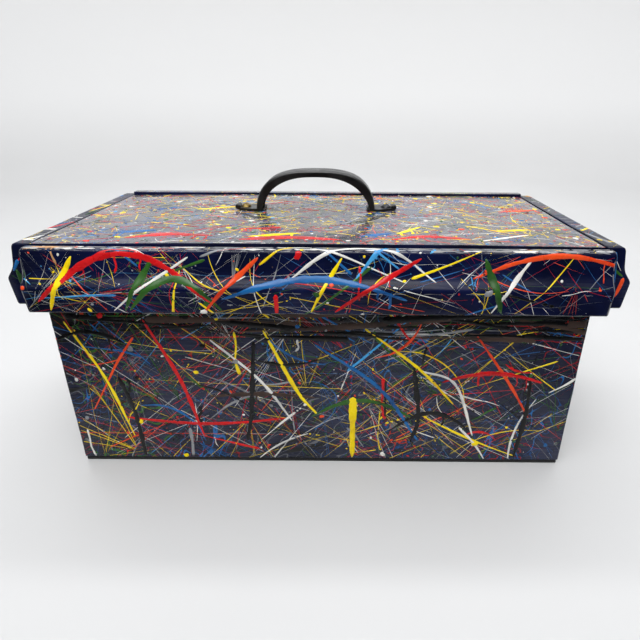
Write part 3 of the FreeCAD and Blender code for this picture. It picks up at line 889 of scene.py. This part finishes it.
    def loop(self, word, start, length, width):
        """A thrown string of paint that curls over itself."""
        r = self.random
        x, y = start
        heading = r.uniform(0, TURN)
        turn = r.uniform(-0.5, 0.5)
        anchors = []
        for _ in range(max(4, int(length / 8))):
            anchors.append((x, y))
            turn += r.gauss(0, 0.3)
            turn *= 0.8
            heading += turn
            x += math.cos(heading) * 8
            y += math.sin(heading) * 8
        self.strip(anchors, [width, width * 0.7, width, width * 0.6], word, 1.5)

    def finish(self):
        """Makes the face's strokes into one piece."""
        kind = MATERIALS if self.thick else FINE_MATERIALS
        used = sorted(set(self.slots))
        order = {slot: i for i, slot in enumerate(used)}
        mesh_piece(self.name, np.concatenate(self.points), self.faces, self.face.body,
                   [kind[self.WORDS[slot]] for slot in used], [order[s] for s in self.slots])


# How often each paint is picked.
COLOURS = ("yellow", "red", "white", "blue", "green", "orange", "grey", "black", "cyan", "brown")
MIXES = {
    "body": (14, 14, 12, 14, 11, 7, 13, 16, 2, 3),
    "lid": (15, 14, 22, 12, 12, 8, 12, 4, 5, 2),
    "top": (26, 17, 17, 13, 10, 10, 5, 8, 3, 0),
}


def pick(r, mix):
    return r.choices(COLOURS, MIXES[mix])[0]


def slanted(r, spread):
    """A throwing direction: mostly slanting one way or the other, seldom upright."""
    lean = math.radians(r.choice((-38, 38)) + r.gauss(0, spread))
    return lean + (math.pi if r.random() < 0.5 else 0)


def spatter(name, seed, mix, lines, drops, spread, longest, thinnest, thickest, bursts=0):
    """The fine layer: thin flung lines and small drops."""
    face = FACES[name]
    paint = Paint("spatter_" + name, face, seed, thick=False)
    r = paint.random
    for _ in range(lines):
        paint.flung(pick(r, mix), paint.somewhere(), slanted(r, spread), r.uniform(0.15, 1) ** 1.5 * longest,
                    r.uniform(thinnest, thickest), r.choice((0.015, 0.04, 0.1)))
    for _ in range(bursts):
        paint.burst(pick(r, mix), paint.somewhere(), r.randint(4, 9), longest * 0.5,
                    r.uniform(thinnest, thickest), r.uniform(0, TURN), r.uniform(0.2, 0.9))
    for _ in range(drops):
        paint.drop(paint.somewhere(), r.uniform(0.35, 1.0), pick(r, mix), 0,
                   (r.uniform(1, 1.8), r.uniform(0, TURN / 2)))
    paint.finish()


# Height of the band under the lid whose black streaks are partly painted shade.
SHADED_BAND = 27
BOLD_SHARE = 0.85


def pours(name, seed, mix, bold, lines, sweeps, runs, loops, splats, widest=3.2, shaded=0):
    """The heavy layer: random pours first, then the bold strokes, the widest with drips and whiskers."""
    face = FACES[name]
    paint = Paint("pours_" + name, face, seed, thick=True)
    r = paint.random
    if shaded:
        low, high = face.v_range[1] - SHADED_BAND, face.v_range[1] + 1
        # Black and brown level streaks under the lid, partly the black paint there and partly painted shade
        # of the lid's overhang; then thin coloured level lines.
        paint.streaks(("black", "black", "black", "brown"), shaded, low, high, 120, 2.5, 6)
        paint.streaks(("blue", "green", "yellow", "grey", "red", "white"), shaded, low, high, 100, 0.7, 2.0)
    for _ in range(lines):
        paint.flung(pick(r, mix), paint.somewhere(), slanted(r, 18), r.uniform(14, 80),
                    r.uniform(1.2, widest), r.choice((0.03, 0.08, 0.18)))
    for _ in range(sweeps):
        paint.sweep(pick(r, mix), paint.somewhere(), slanted(r, 30), r.uniform(20, 110),
                    r.uniform(0.4, 1.1) * widest, r.choice((-1, 1)) * r.choice((0.2, 0.5, 0.9, 1.6)))
    for _ in range(runs):
        paint.drip(r.choice(("black", "black", "white", "red", "yellow", "grey")), paint.somewhere(),
                   r.uniform(8, 40), r.uniform(1.2, 3.4))
    for _ in range(loops):
        paint.loop(pick(r, mix), paint.somewhere(), r.uniform(24, 80), r.uniform(0.9, 1.8))
    for _ in range(splats):
        paint.drop(paint.somewhere(), r.uniform(0.8, 2.2), pick(r, mix), r.uniform(0.2, 0.7),
                   (r.uniform(1, 1.6), r.uniform(0, TURN / 2)))
    for word, widths, *anchors in bold:
        jitter = 0.35 if word in ("black", "brown") else 0.2
        paint.strip(anchors, [w * BOLD_SHARE for w in widths], word, 1.5, jitter)
        if max(widths) >= 5:
            line = smooth_path(anchors, 4)
            for _ in range(r.randint(2, 4)):
                start = line[r.randrange(len(line) // 5, len(line))]
                paint.drip(word, start, r.uniform(5, 14), r.uniform(1.2, 2.6))
            for _ in range(r.randint(3, 6)):
                start = line[r.randrange(len(line))]
                paint.flung(word, start, r.uniform(0, TURN), r.uniform(6, 22), r.uniform(0.6, 1.4), 0.05)
    paint.finish()


def arch(start, end, foot, crest):
    """Five places along a half wave from start to end, between its foot and its crest."""
    steps = [k / 4 for k in range(5)]
    return [(start + (end - start) * t, foot + (crest - foot) * math.sin(math.pi * t)) for t in steps]


def tapered(width, *shares):
    return [width * share for share in shares]


def spaced(words, start, pitch, shift, r):
    """Paints and widths spaced evenly along a face, each then moved at random by up to shift."""
    for k, (word, width) in enumerate(words):
        yield word, width, start + pitch * k + r.uniform(-shift, shift)


def lid_bold():
    """Big arcs and then slashes, spread along the lid's front. v runs down from the moulding's top."""
    r = random.Random(5)
    strokes = [("tan", (3, 5, 3), (-190, 3), (-170, 3))]
    arcs = (("red", 8), ("green", 7), ("blue", 7), ("white", 4), ("cyan", 5), ("orange", 5))
    for word, width, start in spaced(arcs, -190, 57, 14, r):
        foot = r.uniform(20, 52)
        strokes.append((word, tapered(width, 0.3, 0.8, 1.0, 0.9, 0.6, 0.3),
                        *arch(start, start + r.uniform(60, 130), foot, foot - r.uniform(12, 36))))
    slashes = (("yellow", 6), ("green", 6), ("white", 3), ("orange", 5), ("yellow", 4), ("red", 5),
               ("green", 8), ("white", 4))
    for word, width, top in spaced(slashes, -165, 44, 14, r):
        lean = r.choice((-1, 1, 1)) * r.uniform(12, 58)
        strokes.append((word, tapered(width, 0.5, 1.0, 0.8, 0.4),
                        (top, 12), (top + lean * 0.6, 33), (top + lean, 50)))
    return strokes


def body_bold():
    """Arcs, long falling lines and runs, spread along the body's front. v is the height."""
    r = random.Random(8)
    strokes = []
    arcs = (("black", 5), ("red", 4), ("brown", 5), ("black", 4), ("green", 5), ("black", 5), ("red", 5))
    for word, width, start in spaced(arcs, -188, 49, 16, r):
        foot = r.uniform(20, 110)
        strokes.append((word, tapered(width, 0.4, 1.0, 0.9, 0.5),
                        *arch(start, start + r.uniform(45, 125), foot, foot + r.uniform(-12, 18))))
    falls = (("yellow", 3), ("red", 4), ("white", 3), ("yellow", 4), ("blue", 4), ("yellow", 3), ("white", 3),
             ("orange", 3))
    for word, width, top in spaced(falls, -178, 42, 16, r):
        lean = r.choice((-1, 1, 1)) * r.uniform(30, 90)
        strokes.append((word, tapered(width, 0.6, 0.9, 1.1, 0.5), (top, r.uniform(85, 128)),
                        (top + lean * 0.6, r.uniform(65, 90)), (top + lean, r.uniform(15, 60))))
    for top in (-152, -48, 70, 158):
        strokes.append(("black", (4, 5, 4), (top, r.uniform(75, 110)), (top + r.uniform(-9, 9), 45),
                        (top + r.uniform(-14, 14), r.uniform(4, 25))))
    strokes.append(("yellow", (8, 10, 6, 5, 6, 5), (25, 62), (25, 32), (25, 5)))
    return strokes


# Short lists: paint, widths along the stroke, then points (u, v), all in mm.
TOP_BOLD = [
    ("red", (4, 12, 9, 5), (-135, -76), (-110, -66), (-75, -70)),
    ("red", (5, 14, 10, 4), (-55, -80), (-20, -74), (15, -80)),
    ("red", (4, 9, 6), (50, -78), (75, -68), (105, -76)),
    ("red", (3, 6), (-60, -50), (-30, -44)),
    ("blue", (4, 9, 5), (-150, -60), (-120, -54)),
    ("blue", (4, 8, 4), (28, -70), (52, -60)),
    ("blue", (3, 6), (-150, 20), (-130, 30)),
    ("yellow", (3, 8, 4), (-50, -72), (-15, -62)),
    ("yellow", (3, 6, 3), (55, -62), (75, -40)),
    ("yellow", (4, 9, 3), (130, -50), (155, -44)),
    ("yellow", (3, 5, 3), (-110, 20), (-75, 34)),
    ("black", (3, 6, 4), (-70, 6), (-50, -14)),
    ("black", (3, 6, 4), (54, 6), (34, -24)),
    ("white", (2, 4, 2), (110, -80), (150, -60)),
    ("orange", (3, 7, 4), (150, 20), (185, 30)),
]
RAIL_END_BOLD = [
    ("blue", (3, 4, 4), (199, 178), (201, 160), (203, 142)),
    ("green", (3, 2), (197, 168), (207, 161)),
    ("orange", (3, 4, 2), (208, 160), (207, 154), (205, 146)),
    ("white", (1, 1), (198, 176), (205, 165)),
    ("grey", (1, 1), (197, 178), (198, 142)),
    ("green", (4, 5), (-206, 163), (-203, 150)),
    ("blue", (4, 3), (-203, 170), (-208, 162)),
    ("red", (1.5, 1.5), (-198, 175), (-206, 166)),
    ("grey", (1, 1), (-197, 178), (-198, 142)),
]


def wear(name, seed, runs):
    """Worn places, where the enamel has rubbed to its undercoat.

    Each run goes from u0 to u1 at one v, or where those are the same, along the range v. Cover is 1 where the
    worn places nearly meet.
    """
    face = FACES[name]
    paint = Paint("wear_" + name, face, seed, thick=False)
    r = paint.random
    for u0, u1, v, cover, width, words in runs:
        across = abs(u1 - u0) > 0.01
        span = (u1 - u0) if across else (v[1] - v[0])
        at = 0.0
        while at < span:
            length = r.uniform(4, 26) * cover
            stop = min(at + length, span)
            if across:
                line = [(u0 + at + (stop - at) * k / 3, v + r.uniform(-0.3, 0.3)) for k in range(4)]
            else:
                line = [(u0 + r.uniform(-0.3, 0.3), v[0] + at + (stop - at) * k / 3) for k in range(4)]
            paint.strip(line, [width * r.uniform(0.4, 1.3) for _ in range(4)], r.choice(words), 1.5,
                        jitter=0.5, height=0.05)
            at = stop + r.uniform(0.5, 14) * (1.15 - cover)
    paint.finish()


pours("body_front", 21, "body", body_bold(), 60, 34, 12, 6, 34, 2.2, 30)
spatter("body_front", 22, "body", 420, 130, 14, 160, 0.3, 0.9, 40)
pours("lid_front", 23, "lid", lid_bold(), 52, 26, 3, 6, 14, 2.0)
spatter("lid_front", 24, "lid", 190, 70, 26, 120, 0.25, 0.8, 12)
pours("lid_top", 25, "top", TOP_BOLD, 26, 10, 0, 26, 120, 2.0)
spatter("lid_top", 26, "top", 900, 900, 40, 28, 0.3, 1.0)
for side, seed in (("left", 31), ("right", 33)):
    pours("body_" + side, seed, "body", [], 28, 12, 10, 4, 18, 2.8, 16)
    spatter("body_" + side, seed + 1, "body", 190, 70, 14, 130, 0.25, 0.95, 9)
    pours("lid_" + side, seed + 6, "lid", [], 20, 9, 3, 3, 7, 3.6)
    spatter("lid_" + side, seed + 7, "lid", 60, 24, 26, 90, 0.2, 0.7, 3)
pours("body_back", 35, "body", [], 52, 22, 18, 7, 32, 2.8, 34)
spatter("body_back", 36, "body", 320, 120, 14, 130, 0.25, 0.95, 16)
pours("rail_ends", 45, "lid", RAIL_END_BOLD, 0, 0, 0, 0, 0)
pours("lid_back", 41, "lid", [], 32, 10, 5, 5, 12, 3.4)
spatter("lid_back", 42, "lid", 80, 36, 24, 80, 0.22, 0.8, 5)

LID_LEFT, LID_RIGHT = FACES["lid_front"].u_range
BODY_LEFT, BODY_RIGHT = FACES["body_front"].u_range
RIDGE_RUN = 36.0
RUBBED = ("worn", "grey")
ALONG_LID = (
    (1.2, 1.0, 2.6, ("worn", "worn", "grey", "white")), (3.4, 0.8, 1.6, ("worn", "grey", "worn")),
    (5.6, 0.85, 2.4, ("worn", "grey", "worn", "white")), (7.8, 0.5, 1.4, RUBBED),
)
wear("lid_front", 51, [
    *((LID_LEFT, LID_RIGHT, *row) for row in ALONG_LID),
    (LID_RIGHT - 120, LID_RIGHT, 6.6, 0.9, 2.6, ("worn", "white", "grey")),
    (LID_LEFT, LID_RIGHT, RIDGE_RUN, 0.5, 0.8, RUBBED),
    (LID_LEFT, LID_RIGHT, FRONT_RUN - 1.2, 0.75, 0.7, RUBBED),
    *((u, u, (1, FRONT_RUN - 1), 0.9, 0.8, RUBBED) for u in (LID_LEFT + 0.4, LID_RIGHT - 0.4)),
])
wear("body_front", 52, [(u, u, (5, 134), 0.8, 0.8, ("worn", "grey", "worn"))
                        for u in (BODY_LEFT + 0.3, BODY_RIGHT - 0.3)])


# ---------------------------------------------------------------- pieces kept from the model
KEPT = {
    "corner_block": PINE_Z, "hinge": HINGE_BRASS, "handle_bolt_left": BRASS, "handle_bolt_right": DARK_HEAD,
    "handle_washers": ZINC, "handle_nuts": ZINC, "handle_strap": ENAMEL, "lid_moulding_pins": ZINC,
    "lid_panel_nails": ZINC, "front_board_nails": ZINC, "back_board_nails": ZINC, "base_panel_nails": ZINC,
    "hinge_body_screws": ZINC, "hinge_lid_screws": ZINC, "hinge_left_pin": ZINC, "hinge_right_pin": ZINC,
}
for name, obj in nodes.items():
    fitting = [key for key in KEPT if name.startswith(key)]
    if not fitting:
        continue
    for slot in obj.material_slots:
        slot.material = KEPT[max(fitting, key=len)]
    obj.data.shade_smooth()


# ---------------------------------------------------------------- floor, backdrop, light and camera
def grey(value):
    return (value, value, value, 1)


def stage_material(name, value, rough):
    """Matt paper that is a little darker near the floor: the darker floor is painted shade."""
    s = Shader(name)
    cloud = s.noise(s.coord, 3, 2)
    height = s.node("ShaderNodeSeparateXYZ")
    s.link(s.coord, height.inputs[0])
    # Painted shade: the floor is a fifth darker than the wall.
    floor = s.mix(s.ramp(cloud, 0.3, 0.7), grey(value * 0.8), grey(value * 0.82))
    colour = s.mix(s.ramp(height.outputs[2], 0.0, 0.3), floor, grey(value))
    return s.set(Base_Color=colour, Roughness=rough)


STAGE_STEP = 6


def turned_sheet(name, line, material, start=0, stop=360):
    """A surface turned about the vertical axis through the box, from (radius, height) points."""
    turns = [math.radians(a) for a in range(start, stop + 1, STAGE_STEP)]
    points = [(r * math.sin(a), -r * math.cos(a), z) for a in turns for r, z in line]
    faces = []
    for k in range(len(turns) - 1):
        for i in range(len(line) - 1):
            corner = k * len(line) + i
            faces.append((corner, corner + 1, corner + len(line) + 1, corner + len(line)))
    obj = smooth_mesh(name, points, faces, [material])
    return obj


def cove_line(radius, bend, height):
    """A floor that curves up into a wall."""
    turns = [math.radians(a) for a in range(0, 91, STAGE_STEP)]
    curve = [(radius - bend + bend * math.sin(a), bend - bend * math.cos(a)) for a in turns]
    return [(0.0, 0.0)] + curve + [(radius, height)]


def studio_stage():
    """A pale floor and wall all round, and a dark card in front that only gloss can see."""
    turned_sheet("studio_cove", cove_line(2.3, 0.8, 1.9), stage_material("stage_paper", 0.68, 0.6))
    card = turned_sheet("mirror_card", [(0.30, 0.002), (1.45, 0.004), (1.9, 0.35), (2.1, 1.1)],
                        stage_material("black_card", 0.01, 0.9), -60, 60)
    card.visible_camera = card.visible_diffuse = card.visible_shadow = False


studio_stage()


def softbox(name, at, aim, size, power, spread=180):
    light = bpy.data.lights.new(name, "AREA")
    light.shape = "RECTANGLE"
    light.size, light.size_y = size
    light.energy = power
    light.spread = math.radians(spread)
    obj = add_object(name, light)
    obj.location = at
    obj.rotation_euler = (Vector(aim) - Vector(at)).to_track_quat("-Z", "Y").to_euler()


softbox("overhead", (0.0, 0.1, 1.6), (0, 0.1, 0), (2.0, 1.4), 9.2, 150)
softbox("front_fill", (-0.15, -0.85, 1.65), (0, 0, 0.12), (1.7, 0.9), 7.5, 80)
softbox("backdrop_wash", (0.0, 0.9, 2.0), (0, 2.3, 0.4), (3.0, 0.6), 44)


def studio_world():
    """Pale walls to look at, and a dim room in front of the box for the gloss to mirror."""
    world = bpy.data.worlds.new("studio")
    bpy.context.scene.world = world
    world.use_nodes = True
    tree = world.node_tree
    room = tree.nodes["Background"]
    walls = tree.nodes.new("ShaderNodeBackground")
    walls.inputs[0].default_value = (0.76, 0.77, 0.78, 1)
    walls.inputs[1].default_value = 1.0
    place = tree.nodes.new("ShaderNodeTexCoord")
    split = tree.nodes.new("ShaderNodeSeparateXYZ")
    tree.links.new(place.outputs["Generated"], split.inputs[0])
    front = tree.nodes.new("ShaderNodeMapRange")
    front.interpolation_type = "SMOOTHSTEP"
    for key, value in (("From Min", -0.75), ("From Max", 0.1), ("To Min", 0.03), ("To Max", 0.45)):
        front.inputs[key].default_value = value
    tree.links.new(split.outputs["Y"], front.inputs["Value"])
    room.inputs[0].default_value = (0.86, 0.92, 1.0, 1)
    tree.links.new(front.outputs[0], room.inputs[1])
    path = tree.nodes.new("ShaderNodeLightPath")
    mix = tree.nodes.new("ShaderNodeMixShader")
    tree.links.new(path.outputs["Is Camera Ray"], mix.inputs[0])
    tree.links.new(room.outputs[0], mix.inputs[1])
    tree.links.new(walls.outputs[0], mix.inputs[2])
    tree.links.new(mix.outputs[0], tree.nodes["World Output"].inputs[0])


studio_world()

CAMERA_AT = Vector((17.62, -417.59, 271.68)) * MM
CAMERA_RIGHT = Vector((0.99997, 0.00570, 0.00540))
CAMERA_DOWN = Vector((0.00727, -0.41197, -0.91117))
camera = bpy.data.cameras.new("camera")
camera.sensor_width = 36.0
camera.lens = 28.344
camera.shift_x = -0.03497
camera.shift_y = 0.00663
camera_obj = add_object("camera", camera)
right = CAMERA_RIGHT.normalized()
up = (-CAMERA_DOWN - right * right.dot(-CAMERA_DOWN)).normalized()
back = right.cross(up)
camera_obj.matrix_world = Matrix.Translation(CAMERA_AT) @ Matrix((right, up, back)).transposed().to_4x4()
bpy.context.scene.camera = camera_obj
